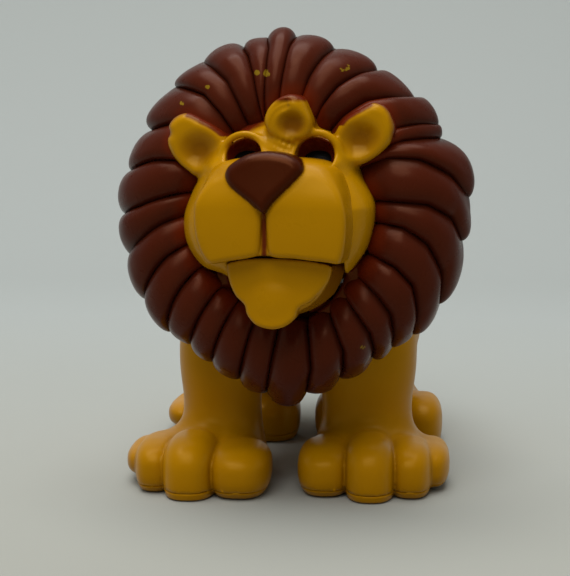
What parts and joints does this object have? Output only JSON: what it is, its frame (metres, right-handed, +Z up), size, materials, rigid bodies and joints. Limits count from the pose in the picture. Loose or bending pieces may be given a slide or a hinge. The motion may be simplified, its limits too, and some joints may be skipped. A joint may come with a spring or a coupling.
{
  "type": "toy lion",
  "caption": "Standing toy lion of hard painted plastic, with a round combed mane, a head that turns and a sprung lower jaw.",
  "frame": {"origin": "on the floor, under the middle of the whole animal's box", "axes": "+Z up, the lion faces -Y, and its own left side is +X"},
  "size_m": [0.0596, 0.0976, 0.0796],
  "materials": {
    "yellow_plastic": "satin moulded hard plastic, glossier on the head",
    "brown_paint": "brown paint on yellow plastic, satin to glossy, worn through in small chips",
    "black_plastic": "glossy black",
    "steel": "plain steel"
  },
  "bodies": {
    "stance": {"body_left_shell": "yellow_plastic", "body_right_shell": "yellow_plastic", "front_left_sole": "yellow_plastic", "front_right_sole": "yellow_plastic", "rear_left_sole": "yellow_plastic", "rear_right_sole": "yellow_plastic", "body_screw_1": "steel", "body_screw_2": "steel", "body_screw_3": "steel", "tail": "yellow_plastic", "neck_link": "yellow_plastic"},
    "head": {"head_front_shell": "brown_paint", "head_back_shell": "brown_paint", "muzzle": "yellow_plastic", "left_eye": "black_plastic", "right_eye": "black_plastic", "neck_pin": "steel", "head_screw_1": "steel", "head_screw_2": "steel", "head_screw_3": "steel", "jaw_pin": "steel", "jaw_spring": "steel"},
    "jaw": {"lower_jaw": "yellow_plastic"}
  },
  "joints": [
    {"name": "head_turn", "type": "hinge", "parent": "stance", "child": "head", "pos_m": [0.00033, -0.02239, 0.04305], "axis": [0, 0, 1], "range_deg": [-6, 18]},
    {"name": "jaw_open", "type": "hinge", "parent": "head", "child": "jaw", "pos_m": [-0.00056, -0.03084, 0.03815], "axis": [0.9945, -0.1045, 0], "range_deg": [0, 18], "stiffness_Nm_per_rad": 0.0006, "springref_deg": -28.65}
  ]
}
